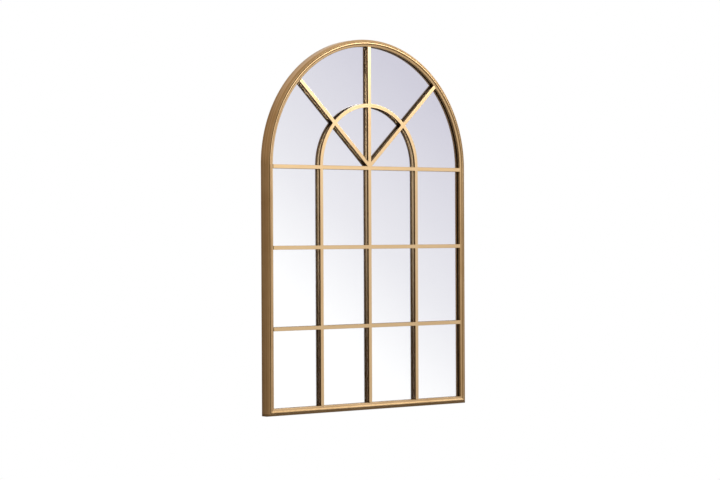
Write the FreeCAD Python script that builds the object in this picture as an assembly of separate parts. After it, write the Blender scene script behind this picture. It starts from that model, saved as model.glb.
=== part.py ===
import FreeCAD, Part
import math
import os

Vector = FreeCAD.Vector

# Arched window mirror, in millimetres. X runs to the right, Y back into the wall and Z up.
# The wall is the plane Y = 0 and the axis of the two hanger rings lies at Z = 0.

# Overall size of the frame.
overall_width = 711.0
overall_height = 1040.0

# Section of the rolled frame, from its outer side inward.
ovolo_radius = 6.8
quirk_width = 1.4
bead_width = 3.4
slope_width = 2.6
lip_width = 6.0
bead_rise = 1.5
quirk_depth = 1.5
lip_depth = 1.8
lip_fall = 0.9
bead_edge = 0.6
lip_edge = 0.8
sheet = 1.2
back_corner = 2.5
return_width = 11.0
seat_width = 6.0

# Glazing bars in front of the glass.
bar_width = 10.7
bar_thickness = 6.5
bar_edge = 0.5
pane_columns = 4
pane_rows = 3
spoke_angle = 44.0
weld_gap = 0.1

# Glass, its gasket and the board behind it.
glass_gap = 2.9
gasket_thickness = 0.8
gasket_margin = 0.5
glass_thickness = 4.0
coat_thickness = 0.2
board_thickness = 6.0
insert_clearance = 2.2
spacer_size = 6.0

# Tabs bent from the frame's back return down on the board.
back_room = 10.2
tab_metal = 1.2
tab_width = 20.0
tab_foot = 14.0
tab_setback = 0.8
tab_weld_gap = 0.5
stile_tabs = 2
rail_tabs = 2
arch_tabs = 3

# Screws of the hangers.
screw_diameter = 3.5
screw_length = 6.0
head_diameter = 7.0
head_height = 2.2
pilot_clearance = 0.05
pilot_tip_gap = 0.3
screw_hole_clearance = 0.3

# Strap hangers and their rings.
hanger_height = 700.0
hanger_spacing = 440.0
strap_width = 16.0
strap_length = 15.0
strap_sheet = 1.2
strap_corner = 5.0
strap_slit = 0.4
strap_screw_drop = 8.0
ring_wire = 3.0
ring_leg = 15.0
ring_end_float = 1.0
ring_bend_gap = 0.3
pin_clearance = 0.1

# Rubber pads between the frame and the wall.
pad_thickness = 2.5
pad_margin = 0.25
pad_length = 18.0
pad_corner_distance = 60.0
pad_arch_angle = 45.0

# Levels behind the bead's front face.
glass_depth = bead_rise + bar_thickness + glass_gap
seat_depth = glass_depth - gasket_thickness
coat_depth = glass_depth + glass_thickness
board_depth = coat_depth + coat_thickness
board_back = board_depth + board_thickness
frame_depth = board_back + back_room + sheet
front_y = -(frame_depth + pad_thickness)
quirk_floor = bead_rise + quirk_depth
lip_inner_depth = lip_depth + lip_fall
shell_depth = max(quirk_floor, lip_inner_depth) + sheet
board_back_y = front_y + board_back

# Distances inward from the frame's outer side.
bead_outer = ovolo_radius + quirk_width
bead_inner = bead_outer + bead_width
lip_outer = bead_inner + slope_width
face_width = lip_outer + lip_width
seat_inset = face_width - seat_width
glass_inset = return_width + insert_clearance
pad_inset = (back_corner + return_width) / 2

# Places in the frame's front view.
half_width = overall_width / 2
bottom_z = -hanger_height
spring_z = bottom_z + overall_height - half_width
opening = half_width - face_width
sill_z = bottom_z + face_width
half_bar = bar_width / 2
column_pitch = (2 * opening + bar_width) / pane_columns
row_pitch = (spring_z - sill_z) / pane_rows

# Screw and hanger sizes that follow from the others.
screw_radius = screw_diameter / 2
screw_hole_radius = screw_radius + screw_hole_clearance
wire_radius = ring_wire / 2
wire_half_flat = wire_radius * math.tan(math.pi / 8)
wire_corner_radius = math.hypot(wire_radius, wire_half_flat)
knuckle_bore = wire_corner_radius + pin_clearance
knuckle_radius = knuckle_bore + strap_sheet
hinge_y = board_back_y + knuckle_radius
ring_half_width = strap_width / 2 + ring_end_float + wire_radius
ring_bend = ring_end_float + wire_radius - ring_bend_gap
hanger_places = [-hanger_spacing / 2, hanger_spacing / 2]

TOLERANCE = 1e-6
FORWARD = Vector(0, 1, 0)
HUB = Vector(0, 0, spring_z)


def rounded_wire(corners, place):
    """Closed wire through corners (u, v, radius), each rounded by a tangent arc."""
    flat = [Vector(u, v, 0) for u, v, radius in corners]
    onward = flat[1:] + flat[:1]
    runs = []
    for index, here in enumerate(flat):
        radius = corners[index][2]
        to_last = (flat[index - 1] - here).normalize()
        to_next = (onward[index] - here).normalize()
        half_angle = to_last.getAngle(to_next) / 2
        reach = radius / math.tan(half_angle)
        middle = (to_last + to_next).normalize() * (radius / math.sin(half_angle) - radius)
        runs.append([here + to_last * reach, here + middle, here + to_next * reach])
    edges = []
    for run, after in zip(runs, runs[1:] + runs[:1]):
        start, middle, end = [place(point.x, point.y) for point in run]
        if start.distanceToPoint(end) > TOLERANCE:
            edges.append(Part.Arc(start, middle, end).toShape())
        onset = place(after[0].x, after[0].y)
        if end.distanceToPoint(onset) > TOLERANCE:
            edges.append(Part.LineSegment(end, onset).toShape())
    return Part.Wire(edges)


def rounded_face(corners, place):
    """Flat face inside a rounded wire."""
    return Part.Face(rounded_wire(corners, place))


def flat_prism(points, start_y, thickness):
    """Prism with a straight-sided outline in the front view."""
    corners = [(x, z, 0.0) for x, z in points]
    face = rounded_face(corners, lambda x, z: Vector(x, start_y, z))
    return face.extrude(FORWARD * thickness)


def arched_plate(inset, depth, thickness):
    """Plate that follows the frame's outline at a distance inside it."""
    y = front_y + depth
    side = half_width - inset
    low_left = Vector(-side, y, bottom_z + inset)
    low_right = Vector(side, y, bottom_z + inset)
    spring_left = Vector(-side, y, spring_z)
    spring_right = Vector(side, y, spring_z)
    crown = Vector(0, y, spring_z + side)
    edges = [
        Part.LineSegment(low_left, low_right).toShape(),
        Part.LineSegment(low_right, spring_right).toShape(),
        Part.Arc(spring_right, crown, spring_left).toShape(),
        Part.LineSegment(spring_left, low_left).toShape(),
    ]
    return Part.Face(Part.Wire(edges)).extrude(FORWARD * thickness)


def frame_section():
    """Corners of the rolled sheet: inward from the outer side, back from the bead's face."""
    return [
        (return_width, frame_depth, 0.0),
        (back_corner, frame_depth, 0.0),
        (0.0, frame_depth - back_corner, 0.0),
        (0.0, bead_rise, ovolo_radius),
        (ovolo_radius, bead_rise, 0.0),
        (ovolo_radius, quirk_floor, 0.0),
        (bead_outer, quirk_floor, 0.0),
        (bead_outer, bead_edge, 0.0),
        (bead_outer + bead_edge, 0.0, 0.0),
        (bead_inner - bead_edge, 0.0, 0.0),
        (lip_outer, lip_depth, 0.0),
        (face_width - lip_edge, lip_inner_depth, 0.0),
        (face_width, lip_inner_depth + lip_edge, 0.0),
        (face_width, seat_depth, 0.0),
        (seat_inset, seat_depth, 0.0),
        (seat_inset, seat_depth - sheet, 0.0),
        (face_width - sheet, seat_depth - sheet, 0.0),
        (face_width - sheet, shell_depth, 0.0),
        (ovolo_radius, shell_depth, 0.0),
        (sheet, bead_rise + ovolo_radius, 0.0),
        (sheet, frame_depth - back_corner - sheet, 0.0),
        (back_corner + sheet, frame_depth - sheet, 0.0),
        (return_width, frame_depth - sheet, 0.0),
    ]


def frame_arch():
    """Half-round head: the section turned about the hub from spring line to spring line."""
    face = rounded_face(frame_section(), lambda r, d: Vector(r - half_width, front_y + d, spring_z))
    return face.revolve(HUB, FORWARD, 180)


def frame_stile(side):
    """Upright of the frame on one side (-1 left, 1 right), mitred at its foot."""
    edge = half_width * side
    face = rounded_face(frame_section(), lambda r, d: Vector(edge - r * side, front_y + d, spring_z))
    upright = face.extrude(Vector(0, 0, bottom_z - spring_z))
    outline = [
        (edge, bottom_z),
        (edge - face_width * side, sill_z),
        (edge - face_width * side, spring_z),
        (edge, spring_z),
    ]
    return upright.common(flat_prism(outline, front_y, frame_depth))


def frame_rail():
    """Bottom rail, mitred at both ends."""
    face = rounded_face(frame_section(), lambda r, d: Vector(-half_width, front_y + d, bottom_z + r))
    rail = face.extrude(Vector(overall_width, 0, 0))
    outline = [
        (-half_width, bottom_z),
        (half_width, bottom_z),
        (opening, sill_z),
        (-opening, sill_z),
    ]
    return rail.common(flat_prism(outline, front_y, frame_depth))


def bar_section(edge):
    """Corners of a glazing bar: across it, and back from its front face."""
    if edge == 0.0:
        front = [(-half_bar, 0.0, 0.0), (half_bar, 0.0, 0.0)]
    else:
        front = [
            (-half_bar, edge, 0.0),
            (edge - half_bar, 0.0, 0.0),
            (half_bar - edge, 0.0, 0.0),
            (half_bar, edge, 0.0),
        ]
    return front + [(half_bar, bar_thickness, 0.0), (-half_bar, bar_thickness, 0.0)]


def straight_bar(x, z, angle, length, edge=bar_edge):
    """Bar that starts at a place in the front view and runs at an angle above +X."""
    bar = rounded_face(bar_section(edge), lambda u, d: Vector(0, d, u)).extrude(Vector(length, 0, 0))
    bar.rotate(Vector(0, 0, 0), FORWARD, -angle)
    bar.translate(Vector(x, front_y + bead_rise, z))
    return bar


def arc_bar(edge=bar_edge):
    """Half-round bar about the hub, one column from it."""
    bar_y = front_y + bead_rise
    face = rounded_face(bar_section(edge), lambda u, d: Vector(u - column_pitch, bar_y + d, spring_z))
    return face.revolve(HUB, FORWARD, 180)


def row_height(row):
    """Centre height of a level bar, counted down from the spring bar."""
    return spring_z - half_bar - row * row_pitch


def column_place(column):
    """Centre of an upright bar, counted from the left."""
    return column * column_pitch - opening - half_bar


def square_row(row):
    """Level bar without its eased edges."""
    return straight_bar(-opening, row_height(row), 0.0, 2 * opening, 0.0)


def square_column(column):
    """Upright bar without its eased edges."""
    return straight_bar(column_place(column), sill_z, 90.0, spring_z - sill_z, 0.0)


def arch_interior():
    """Half disc inside the frame's arch, short of it by the weld gap."""
    disc = Part.makeCylinder(opening - weld_gap, frame_depth, Vector(0, front_y, spring_z), FORWARD)
    outline = [
        (-opening, spring_z),
        (opening, spring_z),
        (opening, spring_z + opening),
        (-opening, spring_z + opening),
    ]
    return disc.common(flat_prism(outline, front_y, frame_depth))


def square_fan_bar(angle):
    """Bar from the hub to the frame's arch without its eased edges."""
    return straight_bar(0.0, spring_z, angle, half_width, 0.0).common(arch_interior())


def flush(bar, square, crossings):
    """Bar whose eased edges stop where other bars are ground flush with it."""
    for crossing in crossings:
        bar = bar.fuse(square.common(crossing))
    return bar.removeSplitter()


def row_bar(row):
    """Level bar from stile to stile."""
    bar = straight_bar(-opening, row_height(row), 0.0, 2 * opening)
    columns = [square_column(column) for column in range(1, pane_columns)]
    return flush(bar, square_row(row), columns)


def column_bar(column):
    """Upright bar in lengths that fit between the level bars."""
    bar = straight_bar(column_place(column), sill_z, 90.0, spring_z - sill_z)
    for row in range(pane_rows):
        bar = bar.cut(square_row(row))
    return bar


def crown_bar():
    """Upright bar from the spring bar to the crown of the frame."""
    bar = straight_bar(0.0, spring_z, 90.0, half_width).common(arch_interior())
    lean = math.radians(spoke_angle)
    hub_height = half_bar * (1 / math.cos(lean) + math.tan(lean))
    hub_block = straight_bar(0.0, spring_z, 90.0, hub_height, 0.0)
    return flush(bar, square_fan_bar(90.0), [arc_bar(0.0), hub_block])


def spoke(angle):
    """Slanted bar from the hub to the frame's arch, cut against the crown bar."""
    bar = straight_bar(0.0, spring_z, angle, half_width).common(arch_interior())
    joined = flush(bar, square_fan_bar(angle), [arc_bar(0.0)])
    return joined.cut(square_fan_bar(90.0))


def inner_arch_bar():
    """Half-round bar in lengths that fit between the spokes and the crown bar."""
    bar = arc_bar()
    for angle in [spoke_angle, 90.0, 180.0 - spoke_angle]:
        bar = bar.cut(square_fan_bar(angle))
    return bar


def bar_spacers():
    """Clear pads between the glass and the crossings of the bars."""
    places = []
    for row in range(pane_rows):
        for column in range(1, pane_columns):
            places.append((column_place(column), row_height(row)))
    for angle in [spoke_angle, 90.0, 180.0 - spoke_angle]:
        lean = math.radians(angle)
        places.append((column_pitch * math.cos(lean), spring_z + column_pitch * math.sin(lean)))
    start_y = front_y + glass_depth - glass_gap
    half = spacer_size / 2
    pads = []
    for x, z in places:
        pads.append(Part.makeBox(spacer_size, glass_gap, spacer_size, Vector(x - half, start_y, z - half)))
    return Part.makeCompound(pads)


def glass_gasket():
    """Strip between the frame's glass seat and the glass."""
    outer = arched_plate(seat_inset + gasket_margin, seat_depth, gasket_thickness)
    inner = arched_plate(face_width - gasket_margin, seat_depth, gasket_thickness)
    return outer.cut(inner)


def tab_places():
    """Points on the frame's outline (x, z) and the outward angle of every tab."""
    places = []
    for step in range(stile_tabs):
        z = sill_z + (step + 0.5) * (spring_z - sill_z) / stile_tabs
        places.append((-half_width, z, 180.0))
        places.append((half_width, z, 0.0))
    for step in range(rail_tabs):
        x = (step + 0.5) * 2 * opening / rail_tabs - opening
        places.append((x, bottom_z, 270.0))
    for step in range(arch_tabs):
        angle = (step + 0.5) * 180.0 / arch_tabs
        lean = math.radians(angle)
        places.append((half_width * math.cos(lean), spring_z + half_width * math.sin(lean), angle))
    return places


def tab():
    """Z-shaped tab on the left stile, its middle at the origin's height."""
    weld = back_corner + sheet + tab_weld_gap
    riser = glass_inset + tab_setback
    corners = [
        (weld, back_room - tab_metal, 0.0),
        (weld, back_room, 0.0),
        (riser + tab_metal, back_room, 0.0),
        (riser + tab_metal, tab_metal, 0.0),
        (riser + tab_foot, tab_metal, 0.0),
        (riser + tab_foot, 0.0, 0.0),
        (riser, 0.0, 0.0),
        (riser, back_room - tab_metal, 0.0),
    ]
    face = rounded_face(corners, lambda r, d: Vector(r, board_back_y + d, -tab_width / 2))
    return face.extrude(Vector(0, 0, tab_width))


def retaining_tabs():
    """All the tabs around the board."""
    tabs = []
    for x, z, angle in tab_places():
        placed = tab()
        placed.rotate(Vector(0, 0, 0), FORWARD, 180.0 - angle)
        placed.translate(Vector(x, 0, z))
        tabs.append(placed)
    return Part.makeCompound(tabs)


def screw(x, z, seat_y):
    """Screw whose flat head stands on a seat facing the wall."""
    shank = Part.makeCylinder(screw_radius, screw_length, Vector(x, seat_y - screw_length, z), FORWARD)
    head = Part.makeCylinder(head_diameter / 2, head_height, Vector(x, seat_y, z), FORWARD)
    return shank.fuse(head)


def hanger_screws():
    """One screw in each strap hanger."""
    seat_y = board_back_y + strap_sheet
    return Part.makeCompound([screw(x, -strap_screw_drop, seat_y) for x in hanger_places])


def backing_board():
    """Arched board with the pilot holes of the hanger screws."""
    board = arched_plate(glass_inset, board_depth, board_thickness)
    radius = screw_radius + pilot_clearance
    depth = screw_length - strap_sheet + pilot_tip_gap
    for x in hanger_places:
        mouth = Vector(x, board_back_y, -strap_screw_drop)
        board = board.cut(Part.makeCylinder(radius, depth, mouth, -FORWARD))
    return board


def hanger_strap(x):
    """Strap with a knuckle rolled from its upper end and a screw hole."""
    half = strap_width / 2
    corners = [
        (x - half, 0.0, 0.0),
        (x - half, -strap_length, strap_corner),
        (x + half, -strap_length, strap_corner),
        (x + half, 0.0, 0.0),
    ]
    plate = rounded_face(corners, lambda u, v: Vector(u, board_back_y, v)).extrude(FORWARD * strap_sheet)
    hole_start = Vector(x, board_back_y, -strap_screw_drop)
    hole = Part.makeCylinder(screw_hole_radius, strap_sheet, hole_start, FORWARD)
    along = Vector(1, 0, 0)
    start = Vector(x - half, hinge_y, 0)
    knuckle = Part.makeCylinder(knuckle_radius, strap_width, start, along)
    bore = Part.makeCylinder(knuckle_bore, strap_width, start, along)
    slit_corner = Vector(x - half, board_back_y + strap_sheet, -knuckle_radius)
    slit = Part.makeBox(strap_width, strap_slit, knuckle_radius, slit_corner)
    strap = plate.cut(hole).fuse(knuckle)
    return strap.cut(bore.fuse(slit)).removeSplitter()


def wire_section(place):
    """Eight-sided section of the ring's drawn wire."""
    flats = [(wire_radius, wire_half_flat), (wire_half_flat, wire_radius)]
    corners = []
    for u_side, v_side in [(1, 1), (-1, 1), (-1, -1), (1, -1)]:
        quarter = flats if u_side == v_side else flats[::-1]
        corners += [(u_side * u, v_side * v, 0.0) for u, v in quarter]
    return rounded_face(corners, place)


def hanger_ring(x):
    """D-shaped wire ring hanging from the knuckle of one strap."""
    half = ring_half_width
    pin_start = x - half + ring_bend
    pin = wire_section(lambda u, v: Vector(pin_start, hinge_y + v, u))
    ring = pin.extrude(Vector(2 * (half - ring_bend), 0, 0))
    for side in [-1, 1]:
        leg_x = x + side * half
        leg = wire_section(lambda u, v: Vector(leg_x + u, hinge_y + v, -ring_bend))
        bend_centre = Vector(leg_x - side * ring_bend, 0, -ring_bend)
        ring = ring.fuse(leg.revolve(bend_centre, FORWARD, -90 * side))
        ring = ring.fuse(leg.extrude(Vector(0, 0, ring_bend - ring_leg)))
    bow = wire_section(lambda u, v: Vector(x - half + u, hinge_y + v, -ring_leg))
    return ring.fuse(bow.revolve(Vector(x, 0, -ring_leg), FORWARD, -180)).removeSplitter()


def wall_pad(x, z, angle):
    """Rubber pad from the frame's back to the wall, set across an outward angle."""
    width = return_width - back_corner - 2 * pad_margin
    corner = Vector(-width / 2, -pad_thickness, -pad_length / 2)
    pad = Part.makeBox(width, pad_thickness, pad_length, corner)
    pad.rotate(Vector(0, 0, 0), FORWARD, -angle)
    pad.translate(Vector(x, 0, z))
    return pad


def wall_pads():
    """Two pads low on the rail and two on the arch."""
    lean = math.radians(pad_arch_angle)
    arch_radius = half_width - pad_inset
    low_x = half_width - pad_corner_distance
    low_z = bottom_z + pad_inset
    high_x = arch_radius * math.cos(lean)
    high_z = spring_z + arch_radius * math.sin(lean)
    pads = []
    for side in [-1, 1]:
        pads.append(wall_pad(side * low_x, low_z, 90.0))
        pads.append(wall_pad(side * high_x, high_z, 90.0 - side * (90.0 - pad_arch_angle)))
    return Part.makeCompound(pads)


def all_parts():
    """Every piece of the mirror by its node name."""
    return {
        "frame_arch": frame_arch(),
        "frame_stile_left": frame_stile(-1),
        "frame_stile_right": frame_stile(1),
        "frame_rail": frame_rail(),
        "spring_bar": row_bar(0),
        "row_bar_upper": row_bar(1),
        "row_bar_lower": row_bar(2),
        "column_bar_left": column_bar(1),
        "column_bar_centre": column_bar(2),
        "column_bar_right": column_bar(3),
        "inner_arch_bar": inner_arch_bar(),
        "crown_bar": crown_bar(),
        "spoke_left": spoke(180.0 - spoke_angle),
        "spoke_right": spoke(spoke_angle),
        "bar_spacers": bar_spacers(),
        "glass_gasket": glass_gasket(),
        "mirror_glass": arched_plate(glass_inset, glass_depth, glass_thickness),
        "silver_coat": arched_plate(glass_inset, coat_depth, coat_thickness),
        "backing_board": backing_board(),
        "retaining_tabs": retaining_tabs(),
        "hanger_strap_left": hanger_strap(hanger_places[0]),
        "hanger_strap_right": hanger_strap(hanger_places[1]),
        "hanger_ring_left": hanger_ring(hanger_places[0]),
        "hanger_ring_right": hanger_ring(hanger_places[1]),
        "hanger_screws": hanger_screws(),
        "wall_pads": wall_pads(),
    }


os.makedirs("parts", exist_ok=True)
for node, shape in all_parts().items():
    shape.exportStep("parts/%s.step" % node)
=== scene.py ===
import logging
import math
from dataclasses import dataclass
from enum import Enum
from typing import Any, Sequence

import bmesh
import bpy
import numpy as np
from mathutils import Matrix, Vector


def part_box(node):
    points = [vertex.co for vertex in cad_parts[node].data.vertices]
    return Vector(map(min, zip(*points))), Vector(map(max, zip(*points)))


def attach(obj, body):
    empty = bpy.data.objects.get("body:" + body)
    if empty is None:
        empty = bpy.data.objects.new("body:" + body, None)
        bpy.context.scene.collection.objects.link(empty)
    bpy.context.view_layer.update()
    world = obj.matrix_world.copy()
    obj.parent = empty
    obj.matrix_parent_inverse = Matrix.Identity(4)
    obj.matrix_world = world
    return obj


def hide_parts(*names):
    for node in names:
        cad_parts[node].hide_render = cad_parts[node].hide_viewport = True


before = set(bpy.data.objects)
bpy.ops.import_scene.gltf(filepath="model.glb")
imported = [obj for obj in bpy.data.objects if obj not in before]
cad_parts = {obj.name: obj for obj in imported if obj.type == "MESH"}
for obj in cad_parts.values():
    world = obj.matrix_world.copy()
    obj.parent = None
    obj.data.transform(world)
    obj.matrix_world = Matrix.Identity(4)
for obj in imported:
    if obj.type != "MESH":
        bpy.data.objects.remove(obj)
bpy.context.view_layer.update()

LOG = logging.getLogger("window_mirror")
MM = 0.001
SPOKE_LEAN = math.radians(44.0)
SEAM_GAP = 1e-7
FACET_GAP = 2e-6

Colour = tuple[float, ...]
Span = tuple[float, float]


class Shade:
    """A shader socket that adds Math nodes when it is used in an expression."""

    def __init__(self, tree: bpy.types.NodeTree, socket: bpy.types.NodeSocket) -> None:
        """Keeps a node tree and one of its output sockets."""
        self.tree = tree
        self.socket = socket

    def _math(self, operation: str, first: Any, second: Any) -> "Shade":
        """Adds one Math node.

        Args:
            operation: The Math node's operation.
            first: Its first value, a number or a Shade.
            second: Its second value, a number or a Shade.

        Returns:
            The node's result.
        """
        node = self.tree.nodes.new("ShaderNodeMath")
        node.operation = operation
        for socket, value in zip(node.inputs, (first, second)):
            if isinstance(value, Shade):
                self.tree.links.new(value.socket, socket)
            else:
                socket.default_value = value
        return Shade(self.tree, node.outputs[0])

    def __add__(self, other: Any) -> "Shade":
        """Sum."""
        return self._math("ADD", self, other)

    __radd__ = __add__

    def __sub__(self, other: Any) -> "Shade":
        """Difference."""
        return self._math("SUBTRACT", self, other)

    def __rsub__(self, other: Any) -> "Shade":
        """Difference from a number."""
        return self._math("SUBTRACT", other, self)

    def __mul__(self, other: Any) -> "Shade":
        """Product."""
        return self._math("MULTIPLY", self, other)

    __rmul__ = __mul__

    def __truediv__(self, other: Any) -> "Shade":
        """Quotient."""
        return self._math("DIVIDE", self, other)

    def __rtruediv__(self, other: Any) -> "Shade":
        """Quotient of a number."""
        return self._math("DIVIDE", other, self)

    def __pow__(self, other: Any) -> "Shade":
        """Power."""
        return self._math("POWER", self, other)

    def angle_from(self, reach: Any) -> "Shade":
        """Angle of the point with this height and that reach, in radians."""
        return self._math("ARCTAN2", self, reach)

    def clamped(self) -> "Shade":
        """The value held between 0 and 1."""
        return self._math("MINIMUM", self._math("MAXIMUM", self, 0.0), 1.0)

    def between(self, low: float, high: float) -> "Shade":
        """Smooth step from 0 at one value to 1 at another."""
        share = ((self - low) / (high - low)).clamped()
        return share * share * (3.0 - share * 2.0)


class Graph:
    """The node tree of one material or world."""

    def __init__(self, owner: Any) -> None:
        """Clears the owner's node tree and keeps it.

        Args:
            owner: A material or a world.
        """
        owner.use_nodes = True
        self.tree = owner.node_tree
        self.tree.nodes.clear()

    def node(self, kind: str, settings: dict[str, Any], output: str | int = 0, **values: Any) -> Shade:
        """Adds one node.

        Args:
            kind: The node's type.
            settings: Attributes set before anything else; stops is a ramp's list of (place, colour).
            output: Name or number of the output to return.
            values: Socket values or links, by socket name with underscores for spaces.

        Returns:
            The chosen output.
        """
        node = self.tree.nodes.new(kind)
        for name, value in settings.items():
            if name == "stops":
                self._set_stops(node.color_ramp, value)
            else:
                setattr(node, name, value)
        for name, value in values.items():
            wanted = name.replace("_", " ")
            socket = next(s for s in node.inputs if s.name == wanted and s.enabled)
            if isinstance(value, Shade):
                self.tree.links.new(value.socket, socket)
            else:
                socket.default_value = value
        return Shade(self.tree, node.outputs[output] if node.outputs else None)

    @staticmethod
    def _set_stops(ramp: bpy.types.ColorRamp, stops: Sequence[tuple[float, Sequence[float]]]) -> None:
        """Gives a colour ramp its stops.

        Args:
            ramp: The ramp, with its two first elements.
            stops: Places from 0 to 1 and their colours.
        """
        while len(ramp.elements) < len(stops):
            ramp.elements.new(1.0)
        for element, (place, colour) in zip(ramp.elements, stops):
            element.position = place
            element.color = (*colour[:3], 1.0)

    def axes(self, vector: Shade) -> tuple[Shade, ...]:
        """Splits a vector.

        Args:
            vector: The vector.

        Returns:
            Its X, Y and Z values.
        """
        node = self.tree.nodes.new("ShaderNodeSeparateXYZ")
        self.tree.links.new(vector.socket, node.inputs[0])
        return tuple(Shade(self.tree, output) for output in node.outputs)

    def place(self) -> Shade:
        """Object coordinates of the shaded point, which are row coordinates here."""
        return self.node("ShaderNodeTexCoord", {}, "Object")

    def noise(self, vector: Shade, scale: float, detail: float = 2.0) -> Shade:
        """Noise from 0 to 1 over a vector."""
        return self.node("ShaderNodeTexNoise", {}, 0, Vector=vector, Scale=scale, Detail=detail)

    def lay(self, height: Shade, strength: float, depth: float) -> Shade:
        """A normal roughened by a height."""
        return self.node("ShaderNodeBump", {}, 0, Strength=strength, Distance=depth, Height=height)

    def mix(self, amount: Any, low: Any, high: Any) -> Shade:
        """A colour between two colours."""
        return self.node("ShaderNodeMix", {"data_type": "RGBA"}, 2, Factor=amount, A=low, B=high)


def linear(red: int, green: int, blue: int) -> Colour:
    """Linear colour of an 8-bit display colour."""
    shares = [value / 255.0 for value in (red, green, blue)]
    return (*[s / 12.92 if s <= 0.04045 else ((s + 0.055) / 1.055) ** 2.4 for s in shares], 1.0)


class BrushPath(Enum):
    """How the brushed lines of a metal piece run in the front view."""

    LEVEL = "level"
    UPRIGHT = "upright"
    LEAN_RIGHT = "lean_right"
    LEAN_LEFT = "lean_left"
    ROUND = "round"


@dataclass(frozen=True)
class Finish:
    """A named surface finish."""

    name: str

    def material(self) -> bpy.types.Material:
        """Makes the finish's material.

        Returns:
            The new material.
        """
        made = bpy.data.materials.new(self.name)
        graph = Graph(made)
        surface = graph.node("ShaderNodeBsdfPrincipled", {}, 0, **self.values(graph))
        graph.node("ShaderNodeOutputMaterial", {}, 0, Surface=surface)
        return made

    def values(self, graph: Graph) -> dict[str, Any]:
        """Socket values of the Principled shader, by name with underscores."""
        raise NotImplementedError


@dataclass(frozen=True)
class BrushedGold(Finish):
    """Antique gold lacquer over brushed steel, with the lines along the piece."""

    path: BrushPath = BrushPath.UPRIGHT
    hub_z: float = 0.0
    pale: Colour = linear(244, 209, 156)
    deep: Colour = linear(227, 188, 132)
    # Dark colour mixed into the gold where shade is painted.
    painted_shade_colour: Colour = linear(92, 62, 28)
    roughness: float = 0.33
    roughness_spread: float = 0.14
    coat: float = 0.5
    coat_roughness: float = 0.25
    streak_length: float = 0.5
    streak_width: float = 3.6 * MM
    streak_detail: float = 3.0
    streak_share: float = 1.5
    cloud_size: float = 0.08
    cloud_share: float = 0.8
    lay_strength: float = 0.04
    lay_depth: float = 0.2 * MM
    mean_reach: float = 0.3

    def along_and_across(self, graph: Graph) -> tuple[Shade, Shade, Shade]:
        """Distances along the lines, across them, and back from the front.

        A straight piece turns the front view by its lean. A round piece takes the angle about the hub
        times a mean reach, and the reach.

        Args:
            graph: The material's graph.

        Returns:
            The three distances in metres.
        """
        x, y, z = graph.axes(graph.place())
        rise = z - self.hub_z
        if self.path is BrushPath.ROUND:
            reach = (x * x + rise * rise) ** 0.5
            return rise.angle_from(x) * self.mean_reach, reach, y
        leans = {
            BrushPath.LEVEL: 0.0,
            BrushPath.UPRIGHT: math.pi / 2,
            BrushPath.LEAN_RIGHT: SPOKE_LEAN,
            BrushPath.LEAN_LEFT: math.pi - SPOKE_LEAN,
        }
        lean = leans[self.path]
        along = x * math.cos(lean) + rise * math.sin(lean)
        across = rise * math.cos(lean) - x * math.sin(lean)
        return along, across, y

    def bright(self, graph: Graph, across: Shade) -> Any:
        """Share of bright gold over the dark colour of painted shade; here all gold, with no shade painted."""
        return 1.0

    def values(self, graph: Graph) -> dict[str, Any]:
        """Long thin streaks over slow clouds of tone; the streaks also vary the gloss.

        Args:
            graph: The material's graph.

        Returns:
            Socket values by name.
        """
        along, across, back = self.along_and_across(graph)
        lines = graph.node(
            "ShaderNodeCombineXYZ",
            {},
            0,
            X=along / self.streak_length,
            Y=across / self.streak_width,
            Z=back / self.streak_width,
        )
        streaks = graph.noise(lines, 1.0, self.streak_detail)
        clouds = graph.noise(graph.place(), 1.0 / self.cloud_size)
        tone = ((streaks - 0.5) * self.streak_share + (clouds - 0.5) * self.cloud_share + 0.5).clamped()
        lay = graph.lay(streaks, self.lay_strength, self.lay_depth)
        gold = graph.mix(tone, self.deep, self.pale)
        return {
            # Painted shade: where the bright share falls below 1 the gold is mixed towards the dark shade colour.
            "Base_Color": graph.mix(self.bright(graph, across), self.painted_shade_colour, gold),
            "Metallic": 1.0,
            "Roughness": self.roughness + self.roughness_spread * (streaks - 0.5),
            "Coat_Weight": self.coat,
            "Coat_Roughness": self.coat_roughness,
            "Normal": lay,
        }


@dataclass(frozen=True)
class BarGold(BrushedGold):
    """The gold of the glazing bars, full on the front, with painted shade on the sides and painted light on the
    backs.
    """

    pale: Colour = linear(255, 222, 170)
    deep: Colour = linear(243, 205, 149)
    # Shares and spans of the painted shade on the sides and of the painted light on the backs.
    edge_share: float = 0.12
    back_share: float = 0.08
    turned: Span = (0.4, 0.75)
    back_rise: Span = (-0.6, 0.0)
    back_dip: Span = (0.0, 0.12)
    back_end: Span = (0.19, 0.27)
    dip_share: float = 0.5

    def bright(self, graph: Graph, across: Shade) -> Any:
        """Painted shade and light: full gold in front, little on the edges, and on the back most at half height.

        Args:
            graph: The material's graph.
            across: Distance across the brushed lines; not used here.

        Returns:
            The share, from 0 to 1.
        """
        facing = graph.axes(graph.node("ShaderNodeNewGeometry", {}, "Normal"))[1]
        height = graph.axes(graph.place())[2]
        # Painted light on the backs by height: none near the foot, most round the middle, halved higher up and
        # gone near the top.
        dip = 1.0 - self.dip_share * height.between(*self.back_dip)
        middle = height.between(*self.back_rise) * dip * (1.0 - height.between(*self.back_end))
        back = self.back_share + (1.0 - self.back_share) * middle
        # Painted shade by facing: fronts keep full gold, sides only the edge share, backs the painted light
        # above.
        front = (facing * -1.0).between(*self.turned)
        rear = facing.between(*self.turned)
        return front + rear * back + (1.0 - front - rear) * self.edge_share


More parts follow.
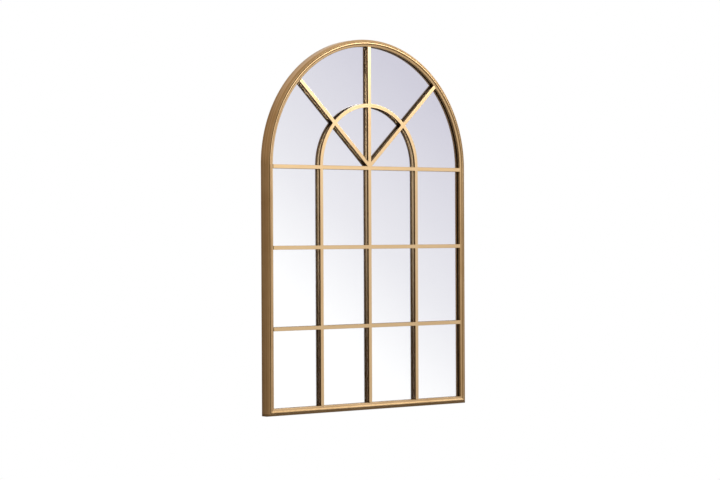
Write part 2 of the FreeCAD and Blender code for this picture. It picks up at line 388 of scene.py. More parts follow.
@dataclass(frozen=True)
class FrameGold(BrushedGold):
    """The gold of the frame, with painted shade in the groove, on the wall down to the glass and under the foot.
    """

    pale: Colour = linear(252, 217, 164)
    deep: Colour = linear(207, 167, 112)
    front_y: float = 0.0
    outer: float = 0.0
    foot_z: float = 0.0
    # Spans and strengths of the painted shade in the groove, on the inner wall, under the foot and from front to
    # back.
    groove_starts: Span = (6.4 * MM, 6.8 * MM)
    groove_stops: Span = (8.2 * MM, 8.6 * MM)
    groove_depth: Span = (0.8 * MM, 1.8 * MM)
    groove_dark: float = 0.9
    wall_starts: Span = (19.4 * MM, 20.0 * MM)
    wall_depth: Span = (2.5 * MM, 4.5 * MM)
    wall_dark: float = 0.45
    foot_height: Span = (6.0 * MM, 7.4 * MM)
    foot_dark: float = 0.5
    depth_shade_span: Span = (8.0 * MM, 36.0 * MM)
    depth_shade_dark: float = 0.3

    def bright(self, graph: Graph, across: Shade) -> Any:
        """Painted shade: falls off in the groove, down the inner wall and under the foot, and slowly from front
        to back.

        Args:
            graph: The material's graph.
            across: Distance across the brushed lines.

        Returns:
            The share, from 0 to 1.
        """
        inset = self.outer - (across * across) ** 0.5
        _, y, z = graph.axes(graph.place())
        depth = y - self.front_y
        # Painted shade in the recess of the groove.
        near = inset.between(*self.groove_starts) * (1.0 - inset.between(*self.groove_stops))
        groove = near * depth.between(*self.groove_depth)
        # Painted shade on the inner wall down to the glass.
        wall = inset.between(*self.wall_starts) * depth.between(*self.wall_depth)
        # Painted shade along the underside of the foot.
        foot = 1.0 - (z - self.foot_z).between(*self.foot_height)
        # Painted shade that deepens slowly from the front to the back.
        depth_shade = 1.0 - self.depth_shade_dark * depth.between(*self.depth_shade_span)
        wall_and_foot_shade = (1.0 - self.wall_dark * wall) * (1.0 - self.foot_dark * foot)
        return depth_shade * (1.0 - self.groove_dark * groove) * wall_and_foot_shade


@dataclass(frozen=True)
class FloatGlass(Finish):
    """Clear polished glass."""

    pale: Colour = (0.997, 1.0, 0.998, 1.0)
    deep: Colour = (0.985, 0.992, 0.99, 1.0)
    grain: float = 3.0
    ior: float = 1.5

    def values(self, graph: Graph) -> dict[str, Any]:
        """Nearly colourless, with a faint drift of tint.

        Args:
            graph: The material's graph.

        Returns:
            Socket values by name.
        """
        drift = graph.noise(graph.place(), self.grain)
        return {
            "Base_Color": graph.mix(drift, self.deep, self.pale),
            "Roughness": 0.0,
            "IOR": self.ior,
            "Transmission_Weight": 1.0,
        }


@dataclass(frozen=True)
class Silvering(Finish):
    """Silver film against the glass."""

    pale: Colour = (0.985, 0.985, 0.985, 1.0)
    deep: Colour = (0.97, 0.97, 0.975, 1.0)
    grain: float = 4.0
    roughness: float = 0.003

    def values(self, graph: Graph) -> dict[str, Any]:
        """Bright metal with a very faint drift of tone.

        Args:
            graph: The material's graph.

        Returns:
            Socket values by name.
        """
        drift = graph.noise(graph.place(), self.grain)
        return {
            "Base_Color": graph.mix(drift, self.deep, self.pale),
            "Metallic": 1.0,
            "Roughness": self.roughness,
        }


@dataclass(frozen=True)
class Fibreboard(Finish):
    """Raw brown fibreboard."""

    pale: Colour = linear(158, 124, 90)
    deep: Colour = linear(112, 82, 55)
    fleck_grain: float = 700.0
    fleck_detail: float = 4.0
    fleck_share: float = 0.8
    cloud_grain: float = 6.0
    cloud_detail: float = 3.0
    cloud_share: float = 0.6
    shade: float = 0.2
    lay_strength: float = 0.12
    lay_depth: float = 0.3 * MM
    roughness: float = 0.82

    def values(self, graph: Graph) -> dict[str, Any]:
        """Fine flecks over slow clouds.

        Args:
            graph: The material's graph.

        Returns:
            Socket values by name.
        """
        flecks = graph.noise(graph.place(), self.fleck_grain, self.fleck_detail)
        clouds = graph.noise(graph.place(), self.cloud_grain, self.cloud_detail)
        tone = (flecks * self.fleck_share + clouds * self.cloud_share - self.shade).clamped()
        return {
            "Base_Color": graph.mix(tone, self.deep, self.pale),
            "Roughness": self.roughness,
            "Normal": graph.lay(flecks, self.lay_strength, self.lay_depth),
        }


@dataclass(frozen=True)
class ZincSteel(Finish):
    """Zinc plated steel."""

    pale: Colour = linear(206, 207, 209)
    deep: Colour = linear(150, 153, 157)
    grain: float = 320.0
    detail: float = 3.0
    roughness: float = 0.26
    roughness_spread: float = 0.22

    def values(self, graph: Graph) -> dict[str, Any]:
        """Patches of brighter and duller plating.

        Args:
            graph: The material's graph.

        Returns:
            Socket values by name.
        """
        patches = graph.noise(graph.place(), self.grain, self.detail)
        return {
            "Base_Color": graph.mix(patches, self.deep, self.pale),
            "Metallic": 1.0,
            "Roughness": self.roughness + self.roughness_spread * patches,
        }


@dataclass(frozen=True)
class Rubber(Finish):
    """Matt black rubber."""

    pale: Colour = linear(48, 47, 46)
    deep: Colour = linear(20, 20, 21)
    grain: float = 420.0
    detail: float = 3.0
    roughness: float = 0.7
    roughness_spread: float = 0.2

    def values(self, graph: Graph) -> dict[str, Any]:
        """Slightly dusty black.

        Args:
            graph: The material's graph.

        Returns:
            Socket values by name.
        """
        dust = graph.noise(graph.place(), self.grain, self.detail)
        return {
            "Base_Color": graph.mix(dust, self.deep, self.pale),
            "Roughness": self.roughness + self.roughness_spread * dust,
        }


@dataclass(frozen=True)
class ClearPad(Finish):
    """Translucent silicone."""

    pale: Colour = linear(228, 230, 230)
    deep: Colour = linear(205, 208, 208)
    grain: float = 300.0
    roughness: float = 0.35
    ior: float = 1.41
    clear_share: float = 0.6

    def values(self, graph: Graph) -> dict[str, Any]:
        """Milky, with a faint cloud.

        Args:
            graph: The material's graph.

        Returns:
            Socket values by name.
        """
        cloud = graph.noise(graph.place(), self.grain)
        return {
            "Base_Color": graph.mix(cloud, self.deep, self.pale),
            "Roughness": self.roughness,
            "IOR": self.ior,
            "Transmission_Weight": self.clear_share,
        }


@dataclass(frozen=True)
class PaleFloor(Finish):
    """Plain matt floor."""

    pale: Colour = linear(186, 185, 183)
    deep: Colour = linear(178, 177, 175)
    grain: float = 1.5
    roughness: float = 0.9

    def values(self, graph: Graph) -> dict[str, Any]:
        """Even pale grey with a faint drift."""
        drift = graph.noise(graph.place(), self.grain)
        return {"Base_Color": graph.mix(drift, self.deep, self.pale), "Roughness": self.roughness}


def rounded_loop(corners: Sequence[tuple[float, float, float]], steps: int) -> np.ndarray:
    """Closed outline with a tangent arc in place of every corner.

    At a corner with half angle h the arc of radius R starts R / tan h along each side, and its centre
    lies R / sin h along the bisector. The arc turns evenly from the first contact point to the second.

    Args:
        corners: Places (u, v) and radii, in order round the outline.
        steps: Points on each arc.

    Returns:
        Points, one row each, corner after corner.
    """
    table = np.array(corners, float)
    here, radius = table[:, :2], table[:, 2:]
    last = np.roll(here, 1, axis=0) - here
    onward = np.roll(here, -1, axis=0) - here
    last /= np.linalg.norm(last, axis=1, keepdims=True)
    onward /= np.linalg.norm(onward, axis=1, keepdims=True)
    half = np.arccos(np.clip((last * onward).sum(1, keepdims=True), -1, 1)) / 2
    bisector = last + onward
    bisector /= np.linalg.norm(bisector, axis=1, keepdims=True)
    centre = here + bisector * radius / np.sin(half)
    start = here + last * radius / np.tan(half) - centre
    end = here + onward * radius / np.tan(half) - centre
    turn = np.arctan2(start[:, :1] * end[:, 1:] - start[:, 1:] * end[:, :1], (start * end).sum(1, keepdims=True))
    angle = np.arctan2(start[:, 1:], start[:, :1]) + turn * np.linspace(0.0, 1.0, steps)
    arcs = np.stack([np.cos(angle), np.sin(angle)], axis=-1) * radius[:, None] + centre[:, None]
    return arcs.reshape(-1, 2)


@dataclass
class Skin:
    """A grid of points, rows by columns, joined into one closed surface."""

    points: np.ndarray
    ring_rows: bool = False

    def faces(self, start: int) -> list[list[int]]:
        """Quads between neighbouring points, and the two end caps of an open run.

        Args:
            start: Number of the skin's first point.

        Returns:
            Corner numbers of every face, turned so that the surface encloses a positive volume.
        """
        rows, columns = self.points.shape[:2]
        index = np.arange(rows * columns).reshape(rows, columns)
        index = np.concatenate([index, index[:, :1]], axis=1)
        if self.ring_rows:
            index = np.concatenate([index, index[:1]], axis=0)
        quads = np.stack([index[:-1, :-1], index[1:, :-1], index[1:, 1:], index[:-1, 1:]], axis=-1).reshape(-1, 4)
        flat = self.points.reshape(-1, 3)
        a, b, c, d = (flat[quads[:, n]] - flat.mean(0) for n in range(4))
        volume = (a * np.cross(b, c)).sum() + (a * np.cross(c, d)).sum()
        made = (quads + start).tolist()
        if not self.ring_rows:
            made += [(index[0, :-1] + start).tolist(), (index[-1, :-1][::-1] + start).tolist()]
        return made if volume > 0 else [face[::-1] for face in made]


class Maker:
    """Turns skins and copies of CAD nodes into pieces of the object."""

    @staticmethod
    def piece(name: str, skins: Sequence[Skin], sharp: float = 40.0) -> bpy.types.Object:
        """Makes one smooth piece.

        Args:
            name: The piece's name.
            skins: Its closed surfaces.
            sharp: Edges that turn more than this many degrees stay sharp.

        Returns:
            The new object, at the origin.
        """
        starts = np.cumsum([0] + [skin.points.size // 3 for skin in skins])
        points = np.concatenate([skin.points.reshape(-1, 3) for skin in skins])
        faces = [face for start, skin in zip(starts, skins) for face in skin.faces(start)]
        mesh = bpy.data.meshes.new(name)
        mesh.from_pydata(points.tolist(), [], faces)
        return Maker.finished(mesh, SEAM_GAP, sharp)

    @staticmethod
    def smooth_copy(node: str, sharp: float = 30.0) -> bpy.types.Object:
        """Makes a smooth copy of a CAD node, whose own mesh is left alone.

        Args:
            node: The CAD node.
            sharp: Edges that turn more than this many degrees stay sharp.

        Returns:
            The new object, at the origin.
        """
        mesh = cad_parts[node].data.copy()
        mesh.name = f"{node}_form"
        return Maker.finished(mesh, FACET_GAP, sharp)

    @staticmethod
    def finished(mesh: bpy.types.Mesh, gap: float, sharp: float) -> bpy.types.Object:
        """Merges a mesh's seams, smooths it and puts it in the scene.

        Args:
            mesh: The mesh, with its place in its points.
            gap: Points nearer than this are merged.
            sharp: Edges that turn more than this many degrees stay sharp.

        Returns:
            The new object, at the origin.
        """
        form = bmesh.new()
        form.from_mesh(mesh)
        bmesh.ops.remove_doubles(form, verts=form.verts[:], dist=gap)
        form.to_mesh(mesh)
        form.free()
        mesh.polygons.foreach_set("use_smooth", np.ones(len(mesh.polygons), bool))
        mesh.set_sharp_from_angle(angle=math.radians(sharp))
        made = bpy.data.objects.new(mesh.name, mesh)
        bpy.context.scene.collection.objects.link(made)
        even = made.modifiers.new("even_shading", "WEIGHTED_NORMAL")
        even.keep_sharp = True
        return made

    @staticmethod
    def dress(piece: bpy.types.Object, material: bpy.types.Material) -> None:
        """Gives a piece one material.

        Args:
            piece: The piece.
            material: Its finish.
        """
        if not piece.material_slots:
            piece.data.materials.append(material)
        for slot in piece.material_slots:
            slot.material = material
        LOG.info("%s: %s", piece.name, material.name)

    @classmethod
    def stand_in(cls, piece: bpy.types.Object, node: str, body: str, material: bpy.types.Material) -> None:
        """Puts a new piece in a CAD node's stead.

        Args:
            piece: The new piece.
            node: The CAD node that it stands for.
            body: The body that it rides on.
            material: Its finish.
        """
        cls.dress(piece, material)
        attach(piece, body)
        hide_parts(node)


@dataclass
class Surround:
    """Rolled metal frame round the glass: arch, two stiles and a rail."""

    half_width: float
    front_y: float
    depth: float
    hub_z: float
    bottom_z: float
    ovolo: float = 6.8 * MM
    quirk: float = 1.4 * MM
    bead: float = 3.4 * MM
    slope: float = 2.6 * MM
    lip: float = 6.0 * MM
    ovolo_turn: float = math.radians(68.0)
    ovolo_radius: float = 8.0 * MM
    ovolo_drop: float = 0.6 * MM
    groove_floor: float = 3.0 * MM
    lip_depth: float = 1.8 * MM
    lip_fall: float = 0.9 * MM
    sheet: float = 1.2 * MM
    back_corner: float = 1.6 * MM
    back_return: float = 11.0 * MM
    seat_depth: float = 10.1 * MM
    seat_width: float = 6.0 * MM
    fine_edge: float = 0.25 * MM
    bead_radius: float = 1.2 * MM
    bead_trim: float = 0.3 * MM
    slope_radius: float = 0.7 * MM
    lip_radius: float = 1.2 * MM
    arc_steps: int = 7
    arch_steps: int = 432
    run_points: int = 9

    @classmethod
    def from_cad(cls) -> "Surround":
        """Takes the places from the CAD frame.

        Returns:
            The frame at its CAD size.
        """
        low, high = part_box("frame_arch")
        return cls(high.x, low.y, high.y - low.y, low.z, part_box("frame_rail")[0].z)

    def section(self) -> np.ndarray:
        """Outline of the rolled sheet, inward from the outer side and back from the bead's face.

        Every corner has its own radius: an ovolo that turns from the outer side towards the front, a
        groove, a soft bead, a lip that leans to the glass and a rolled back edge. For a width w and a
        turn t the ovolo's corner lies w / tan t behind the groove's edge.

        Returns:
            Points (inward, back) in metres.
        """
        thin, fine = self.sheet, self.fine_edge
        ovolo_tip = self.ovolo_drop + self.ovolo / math.tan(self.ovolo_turn)
        bead_out = self.ovolo + self.quirk
        bead_in = bead_out + self.bead
        lip_out = bead_in + self.slope
        face = lip_out + self.lip
        seat = face - self.seat_width
        corners = [
            (self.back_return, self.depth, fine),
            (0.0, self.depth, self.back_corner),
            (0.0, ovolo_tip, self.ovolo_radius),
            (self.ovolo, self.ovolo_drop, fine),
            (self.ovolo, self.groove_floor, fine),
            (bead_out, self.groove_floor, fine),
            (bead_out, 0.0, self.bead_radius),
            (bead_in - self.bead_trim, 0.0, self.bead_radius),
            (lip_out, self.lip_depth, self.slope_radius),
            (face, self.lip_depth + self.lip_fall, self.lip_radius),
            (face, self.seat_depth, fine),
            (seat, self.seat_depth, fine),
            (seat, self.seat_depth - thin, fine),
            (face - thin, self.seat_depth - thin, fine),
            (face - thin, self.groove_floor + thin, fine),
            (self.ovolo, self.groove_floor + thin, fine),
            (thin, ovolo_tip + self.ovolo_radius, fine),
            (thin, self.depth - thin, self.back_corner - thin),
            (self.back_return, self.depth - thin, fine),
        ]
        return rounded_loop(corners, self.arc_steps)

    def arch_skin(self) -> Skin:
        """The section turned half way round the hub: each point keeps its reach and its depth.

        Returns:
            The arch's surface.
        """
        inward, back = self.section().T
        turn = np.linspace(0.0, np.pi, self.arch_steps + 1)[:, None]
        reach = self.half_width - inward
        y = np.broadcast_to(self.front_y + back, (len(turn), len(back)))
        return Skin(np.stack([reach * np.cos(turn), y, self.hub_z + reach * np.sin(turn)], axis=-1))

    def stile_skin(self, side: int) -> Skin:
        """The section drawn down from the hub's height to the foot's mitre.

        Each point ends as far above the bottom as it lies inward, which is the 45 degree mitre.

        Args:
            side: -1 for the left stile, 1 for the right.

        Returns:
            The stile's surface.
        """
        inward, back = self.section().T
        share = np.linspace(0.0, 1.0, self.run_points)[:, None]
        z = self.hub_z + share * (self.bottom_z + inward - self.hub_z)
        x = np.broadcast_to(side * (self.half_width - inward), z.shape)
        y = np.broadcast_to(self.front_y + back, z.shape)
        return Skin(np.stack([x, y, z], axis=-1))

    def rail_skin(self) -> Skin:
        """The section drawn from mitre to mitre: each point's run is shorter by twice its inset.

        Returns:
            The rail's surface.
        """
        inward, back = self.section().T
        share = np.linspace(-1.0, 1.0, self.run_points)[:, None]
        x = share * (self.half_width - inward)
        y = np.broadcast_to(self.front_y + back, x.shape)
        z = np.broadcast_to(self.bottom_z + inward, x.shape)
        return Skin(np.stack([x, y, z], axis=-1))

    def build(self) -> None:
        """Makes and dresses the four lengths.

        The finish measures its inset from the outer side, which for the rail is the bottom edge.
        """
        lengths = {
            "frame_arch": (self.arch_skin(), BrushPath.ROUND),
            "frame_stile_left": (self.stile_skin(-1), BrushPath.UPRIGHT),
            "frame_stile_right": (self.stile_skin(1), BrushPath.UPRIGHT),
            "frame_rail": (self.rail_skin(), BrushPath.LEVEL),
        }
        for node, (skin, path) in lengths.items():
            outer = self.hub_z - self.bottom_z if path is BrushPath.LEVEL else self.half_width
            finish = FrameGold(
                f"frame_gold_{path.value}",
                path,
                self.hub_z,
                front_y=self.front_y,
                outer=outer,
                foot_z=self.bottom_z,
            )
            Maker.stand_in(Maker.piece(f"{node}_form", [skin]), node, "mirror", finish.material())


@dataclass
class Lattice:
    """Glazing bars in front of the glass."""

    hub_z: float
    front_y: float
    back_y: float
    ring_reach: float
    width: float = 10.7 * MM
    edge: float = 0.7 * MM
    back_edge: float = 0.25 * MM
    spoke_angle: float = SPOKE_LEAN
    arc_steps: int = 6
    run_points: int = 41

    @classmethod
    def from_cad(cls) -> "Lattice":
        """Takes the places from the CAD bars.

        Returns:
            The bars at their CAD size.
        """
        low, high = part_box("inner_arch_bar")
        return cls(low.z, low.y, high.y, high.x - cls.width / 2)

    def arch_skins(self) -> list[Skin]:
        """Lengths of the inner arch between its neighbours.

        A bar of half width w that leaves the hub at an angle hides the arc out to arcsin(w / reach) on
        either side of it, so every point of the section starts and stops at its own angle.

        Returns:
            The four lengths.
        """
        half = self.width / 2
        corners = [
            (-half, 0.0, self.edge),
            (half, 0.0, self.edge),
            (half, self.back_y - self.front_y, self.back_edge),
            (-half, self.back_y - self.front_y, self.back_edge),
        ]
        across, back = rounded_loop(corners, self.arc_steps).T
        reach = self.ring_reach + across
        hidden = np.arcsin(half / reach)
        none = np.zeros_like(reach)
        stops = [self.spoke_angle, math.pi / 2, math.pi - self.spoke_angle]
        starts = [none] + [stop + hidden for stop in stops]
        ends = [stop - hidden for stop in stops] + [none + math.pi]
        share = np.linspace(0.0, 1.0, self.run_points)[:, None]
        skins = []
        for start, end in zip(starts, ends):
            turn = start + share * (end - start)
            y = np.broadcast_to(self.front_y + back, turn.shape)
            skins.append(Skin(np.stack([reach * np.cos(turn), y, self.hub_z + reach * np.sin(turn)], axis=-1)))
        return skins

    def build(self) -> None:
        """Makes the smooth inner arch and brushes every bar along its length.

        The straight bars stay as they are in the CAD and only get their finish.
        """
        finishes = {path: BarGold(f"bar_gold_{path.value}", path, self.hub_z).material() for path in BrushPath}
        arch = Maker.piece("inner_arch_form", self.arch_skins())
        Maker.stand_in(arch, "inner_arch_bar", "mirror", finishes[BrushPath.ROUND])
        paths = {
            "spring_bar": BrushPath.LEVEL,
            "row_bar_upper": BrushPath.LEVEL,
            "row_bar_lower": BrushPath.LEVEL,
            "column_bar_left": BrushPath.UPRIGHT,
            "column_bar_centre": BrushPath.UPRIGHT,
            "column_bar_right": BrushPath.UPRIGHT,
            "crown_bar": BrushPath.UPRIGHT,
            "spoke_left": BrushPath.LEAN_LEFT,
            "spoke_right": BrushPath.LEAN_RIGHT,
        }
        for node, path in paths.items():
            Maker.dress(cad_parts[node], finishes[path])


@dataclass
class Glazing:
    """Glass, silvering, gasket, spacers and board."""

    bite: float = 0.05 * MM
    arch_steps: int = 96

    def silver_skin(self) -> Skin:
        """Thin arched sheet whose front lies a hair inside the glass, as a silvered back does.

        The outline runs up the right edge, round the half circle and down the left edge. Two rows of it,
        front and back, make the sheet.

        Returns:
            The sheet's surface.
        """
        low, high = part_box("silver_coat")
        hub_z = high.z - high.x
        turn = np.linspace(0.0, np.pi, self.arch_steps + 1)
        arc = np.c_[np.cos(turn) * high.x, hub_z + np.sin(turn) * high.x]
        outline = np.concatenate([[[high.x, low.z]], arc, [[low.x, low.z]]])
        depths = np.array([low.y - self.bite, high.y - self.bite])
        rows = [np.c_[outline[:, 0], np.full(len(outline), y), outline[:, 1]] for y in depths]
        return Skin(np.stack(rows))

    def build(self) -> None:
        """Lays the silver on the glass and gives each layer its finish.

        Only the silver is a new piece. The other layers stay as they are in the CAD.
        """
        sheet = Maker.piece("silver_sheet", [self.silver_skin()])
        Maker.stand_in(sheet, "silver_coat", "mirror", Silvering("silvering").material())
        finishes = {
            "mirror_glass": FloatGlass("float_glass"),
            "glass_gasket": Rubber("gasket_rubber"),
            "bar_spacers": ClearPad("clear_silicone"),
            "backing_board": Fibreboard("fibreboard"),
        }
        for node, finish in finishes.items():
            Maker.dress(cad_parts[node], finish.material())


@dataclass
class Hangers:
    """Strap hangers, their rings and screws, the retaining tabs and the wall pads."""

    wire: float = 1.5 * MM
    ring_half: float = 10.5 * MM
    ring_leg: float = 15.0 * MM
    ring_bend: float = 2.2 * MM
    bow_share: float = 0.999
    head_radius: float = 3.5 * MM
    head_height: float = 2.2 * MM
    head_rim: float = 0.5 * MM
    cap_power: float = 2.6
    shank_radius: float = 1.75 * MM
    shank_taper: float = 1.2 * MM
    slot_half: float = 0.5 * MM
    slot_reach: float = 2.0 * MM
    slot_depth: float = 1.3 * MM
    slot_soft: float = 0.15 * MM
    path_steps: int = 18
    wire_sides: int = 24
    cap_points: int = 60
    screw_sides: int = 96

    def ring_skin(self, node: str) -> Skin:
        """Round wire bent to a D.

        The path is a rectangle with tight upper corners and lower corners as large as its half width. At
        every point the circle of the wire stands on the path's in-plane normal and on the Y axis.

        Args:
            node: The CAD ring that gives the place.

        Returns:
            The ring's surface.
        """
        low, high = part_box(node)
        x, hinge_y = (low.x + high.x) / 2, (low.y + high.y) / 2
        hinge_z = high.z - (high.y - low.y) / 2
        foot = -self.ring_leg - self.ring_half
        corners = [
            (-self.ring_half, 0.0, self.ring_bend),
            (self.ring_half, 0.0, self.ring_bend),
            (self.ring_half, foot, self.ring_half * self.bow_share),
            (-self.ring_half, foot, self.ring_half * self.bow_share),
        ]
        path = rounded_loop(corners, self.path_steps)
        run = np.roll(path, -1, axis=0) - np.roll(path, 1, axis=0)
        run /= np.linalg.norm(run, axis=1, keepdims=True)
        side = np.c_[run[:, 1], -run[:, 0]]
        turn = np.linspace(0.0, 2.0 * np.pi, self.wire_sides, endpoint=False)
        flat = path[:, None] + side[:, None] * np.cos(turn)[None, :, None] * self.wire
        y = np.broadcast_to(hinge_y + np.sin(turn) * self.wire, flat.shape[:2])
        return Skin(np.stack([x + flat[..., 0], y, hinge_z + flat[..., 1]], axis=-1), ring_rows=True)

    def screw_skin(self, x: float, z: float, seat_y: float, tip_y: float) -> Skin:
        """Pan-head screw with a cross recess, seen from the wall.

        A profile of reach and height turns about the screw's axis. The cap falls off nearly as an ellipse.
        Where the smaller of the two cross distances is within the slot and the larger within its reach, the cap
        sinks by the slot's depth, with soft edges.

        Args:
            x: Place of the axis.
            z: Place of the axis.
            seat_y: Where the head seats.
            tip_y: Where the shank ends.

        Returns:
            The screw's surface.
        """
        tip = tip_y - seat_y
        shank_reach = [0.0, self.shank_radius, self.shank_radius]
        shank_height = [tip, tip + self.shank_taper, 0.0]
        cap = np.sin(np.linspace(np.pi / 2, 0.0, self.cap_points)) * self.head_radius
        dome = np.sqrt(np.clip(1.0 - (cap / self.head_radius) ** self.cap_power, 0.0, 1.0))
        height = np.r_[shank_height, 0.0, self.head_rim + (self.head_height - self.head_rim) * dome]
        reach = np.r_[shank_reach, self.head_radius, cap]
        turn = np.linspace(0.0, 2.0 * np.pi, self.screw_sides, endpoint=False)
        u = reach[:, None] * np.cos(turn)
        v = reach[:, None] * np.sin(turn)
        near, far = np.minimum(abs(u), abs(v)), np.maximum(abs(u), abs(v))
        narrow = np.clip((self.slot_half - near) / self.slot_soft + 0.5, 0.0, 1.0)
        inside = narrow * np.clip((self.slot_reach - far) / self.slot_soft + 0.5, 0.0, 1.0)
        inside[: len(shank_reach) + 1] = 0.0
        y = seat_y + height[:, None] - self.slot_depth * inside
        return Skin(np.stack([x + u, y, z + v], axis=-1))

    def build(self) -> None:
        """Makes rings and screws, copies the straps and tabs, and dresses the pads.

        The screws' heads give the places of their axes and of their seats.
        """
        zinc = ZincSteel("zinc_steel").material()
        for side in ("left", "right"):
            node = f"hanger_ring_{side}"
            ring = Maker.piece(f"ring_form_{side}", [self.ring_skin(node)])
            Maker.stand_in(ring, node, f"ring_{side}", zinc)
        low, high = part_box("hanger_screws")
        seat_y = high.y - self.head_height
        z = (low.z + high.z) / 2
        places = (low.x + self.head_radius, high.x - self.head_radius)
        screws = Maker.piece("screw_forms", [self.screw_skin(x, z, seat_y, low.y) for x in places])
        Maker.stand_in(screws, "hanger_screws", "mirror", zinc)
        for node in ("hanger_strap_left", "hanger_strap_right", "retaining_tabs"):
            Maker.stand_in(Maker.smooth_copy(node), node, "mirror", zinc)
        Maker.dress(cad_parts["wall_pads"], Rubber("pad_rubber").material())


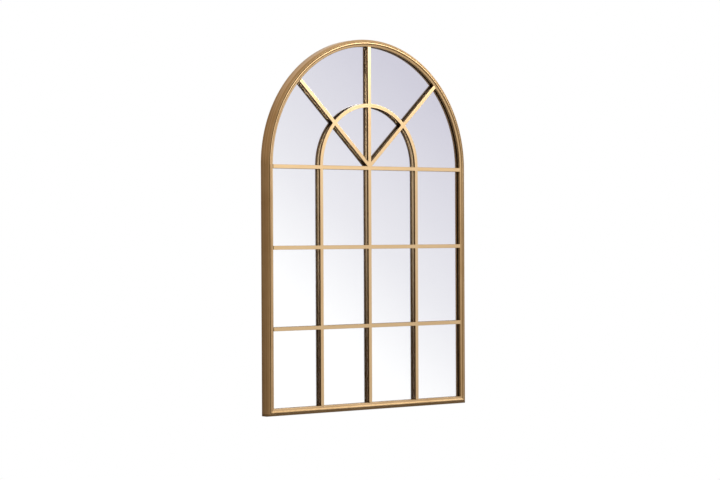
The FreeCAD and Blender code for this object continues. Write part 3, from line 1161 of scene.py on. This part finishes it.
@dataclass
class Studio:
    """Camera, light, floor and surroundings."""

    image_width: int = 720
    focal_px: float = 2098.0
    sensor_mm: float = 36.0
    eye: tuple[float, float, float] = (-3.6864, -4.6357, -0.2046)
    yaw: float = math.radians(38.418)
    pitch: float = math.radians(-0.177)
    roll: float = math.radians(0.259)
    floor_z: float = -2.6
    floor_radius: float = 11.0
    floor_sides: int = 96
    light_place: tuple[float, float, float] = (1.88, -1.89, 1.14)
    light_aim: tuple[float, float, float] = (-0.32, -0.51, 1.14)
    light_size: Span = (2.0, 0.92)
    light_power: float = 12.3
    light_spread: float = math.radians(84.0)
    left_low: Colour = (0.06, 0.045, 0.03, 1.0)
    left_high: Colour = (0.375, 0.305, 0.24, 1.0)
    back_low: Colour = (0.88, 0.86, 0.84, 1.0)
    back_high: Colour = (0.66, 0.58, 0.53, 1.0)
    near_front: Colour = (0.44, 0.39, 0.34, 1.0)
    right_low: Colour = (0.52, 0.46, 0.39, 1.0)
    right_high: Colour = (0.80, 0.72, 0.66, 1.0)
    ceiling: Colour = (0.66, 0.61, 0.56, 1.0)
    below: Colour = (0.08, 0.065, 0.05, 1.0)
    below_aside: Colour = (0.19, 0.175, 0.16, 1.0)
    backdrop: Colour = (1.0, 1.0, 1.0, 1.0)
    field_slant: float = 0.9
    field_start: float = 5.0
    field_length: float = 30.0
    field_stops: tuple[tuple[float, Colour], ...] = (
        (0.0, (1.07, 1.07, 1.07)),
        (0.0667, (1.03, 1.03, 1.04)),
        (0.1667, (0.86, 0.855, 0.90)),
        (0.35, (0.655, 0.64, 0.73)),
        (0.55, (0.72, 0.70, 0.74)),
        (1.0, (0.45, 0.43, 0.43)),
    )
    left_rise: Span = (-0.18, 0.18)
    right_rise: Span = (0.0, 0.35)
    back_rise: Span = (-0.1, 0.45)
    ceiling_rise: Span = (0.35, 0.65)
    below_rise: Span = (-0.17, -0.084)
    front_bearing: Span = (-0.45, -0.05)
    field_bearing: Span = (0.2, 0.64)
    right_bearing: Span = (0.95, 1.25)
    below_from: Span = (0.15, 0.5)
    below_until: Span = (1.0, 1.3)
    back_side: Span = (-0.36, 0.12)
    right_side: Span = (0.35, 0.75)
    ceiling_side: Span = (-0.1, 0.4)
    ahead_share: Span = (-0.25, 0.25)
    backdrop_share: Span = (0.93, 0.979)

    def camera(self) -> None:
        """Aims the camera by yaw and pitch and turns it about that line by the roll.

        The lens keeps the focal length in pixels at the photo's width.
        """
        level = math.cos(self.pitch)
        forward = Vector((math.sin(self.yaw) * level, math.cos(self.yaw) * level, math.sin(self.pitch)))
        flat_right = Vector((math.cos(self.yaw), -math.sin(self.yaw), 0.0))
        flat_down = forward.cross(flat_right)
        right = flat_right * math.cos(self.roll) + flat_down * math.sin(self.roll)
        down = flat_down * math.cos(self.roll) - flat_right * math.sin(self.roll)
        data = bpy.data.cameras.new("photo_camera")
        data.sensor_width = self.sensor_mm
        data.lens = self.focal_px * self.sensor_mm / self.image_width
        camera = bpy.data.objects.new("photo_camera", data)
        turn = Matrix((right, -down, -forward)).transposed()
        camera.matrix_world = Matrix.Translation(self.eye) @ turn.to_4x4()
        bpy.context.scene.collection.objects.link(camera)
        bpy.context.scene.camera = camera

    def surroundings(self) -> None:
        """White behind the object, and in front a soft field from white to pale lavender above right.

        The field's value is the rise plus a share of the bearing past the camera's own, in degrees. A
        bearing is counted from the front towards the right. Left, right, back, ceiling and the parts below
        have their own tones, and each blends into the next over a span of rises, bearings or sides.
        """
        world = bpy.data.worlds.new("studio")
        graph = Graph(world)
        x, y, z = graph.axes(graph.node("ShaderNodeTexCoord", {}, "Generated"))
        bearing = x.angle_from(y * -1.0)
        facing = x * math.sin(self.yaw) + y * math.cos(self.yaw)
        field = (z + (bearing - self.yaw) * self.field_slant) * (180.0 / math.pi)
        along = (field + self.field_start) / self.field_length
        room = graph.node("ShaderNodeValToRGB", {"stops": self.field_stops}, 0, Fac=along)
        left = graph.mix(z.between(*self.left_rise), self.left_low, self.left_high)
        right = graph.mix(z.between(*self.right_rise), self.right_low, self.right_high)
        back = graph.mix(z.between(*self.back_rise), self.back_low, self.back_high)
        front = graph.mix(bearing.between(*self.front_bearing), left, self.near_front)
        front = graph.mix(bearing.between(*self.field_bearing), front, room)
        ahead = graph.mix(bearing.between(*self.right_bearing), front, right)
        behind = graph.mix(x.between(*self.back_side), left, back)
        behind = graph.mix(x.between(*self.right_side), behind, right)
        walls = graph.mix((y * -1.0).between(*self.ahead_share), behind, ahead)
        above = z.between(*self.ceiling_rise) * x.between(*self.ceiling_side)
        lifted = graph.mix(above, walls, self.ceiling)
        seen = bearing.between(*self.below_from) * (1.0 - bearing.between(*self.below_until))
        low = graph.mix(seen, self.below_aside, self.below)
        sunk = graph.mix(z.between(*self.below_rise), low, lifted)
        colour = graph.mix(facing.between(*self.backdrop_share), sunk, self.backdrop)
        light = graph.node("ShaderNodeBackground", {}, 0, Color=colour, Strength=1.0)
        graph.node("ShaderNodeOutputWorld", {}, 0, Surface=light)
        bpy.context.scene.world = world
        bpy.context.scene.view_settings.view_transform = "Standard"

    def softbox(self) -> None:
        """Adds one rectangular soft light at the upper right.

        Its power is in watts, and its beam opens by the spread.
        """
        data = bpy.data.lights.new("top_light", "AREA")
        data.shape = "RECTANGLE"
        data.size, data.size_y = self.light_size
        data.energy = self.light_power
        data.spread = self.light_spread
        lamp = bpy.data.objects.new("top_light", data)
        turn = (Vector(self.light_aim) - Vector(self.light_place)).to_track_quat("-Z", "Y")
        lamp.matrix_world = Matrix.Translation(self.light_place) @ turn.to_matrix().to_4x4()
        bpy.context.scene.collection.objects.link(lamp)

    def floor(self) -> None:
        """Pale round floor well below the hung mirror: one flat disc.

        The points lie at even angles on a circle of the floor's radius.
        """
        turn = np.linspace(0.0, 2.0 * np.pi, self.floor_sides, endpoint=False)
        circle = np.c_[np.cos(turn), np.sin(turn), np.zeros_like(turn)]
        points = circle * self.floor_radius + (0.0, 0.0, self.floor_z)
        mesh = bpy.data.meshes.new("floor")
        mesh.from_pydata(points.tolist(), [], [list(range(len(points)))])
        floor = bpy.data.objects.new("floor", mesh)
        bpy.context.scene.collection.objects.link(floor)
        Maker.dress(floor, PaleFloor("pale_floor").material())

    def build(self) -> None:
        """Sets up the whole studio.

        The camera comes first, then the surroundings, the light and the floor.
        """
        self.camera()
        self.surroundings()
        self.softbox()
        self.floor()


def main() -> None:
    """Builds and dresses the mirror, then sets up the studio.

    The frame comes first, then the bars, the glass and the back.
    """
    logging.basicConfig(level=logging.INFO, format="%(name)s: %(message)s")
    Surround.from_cad().build()
    Lattice.from_cad().build()
    Glazing().build()
    Hangers().build()
    Studio().build()


if __name__ == "__main__":
    main()
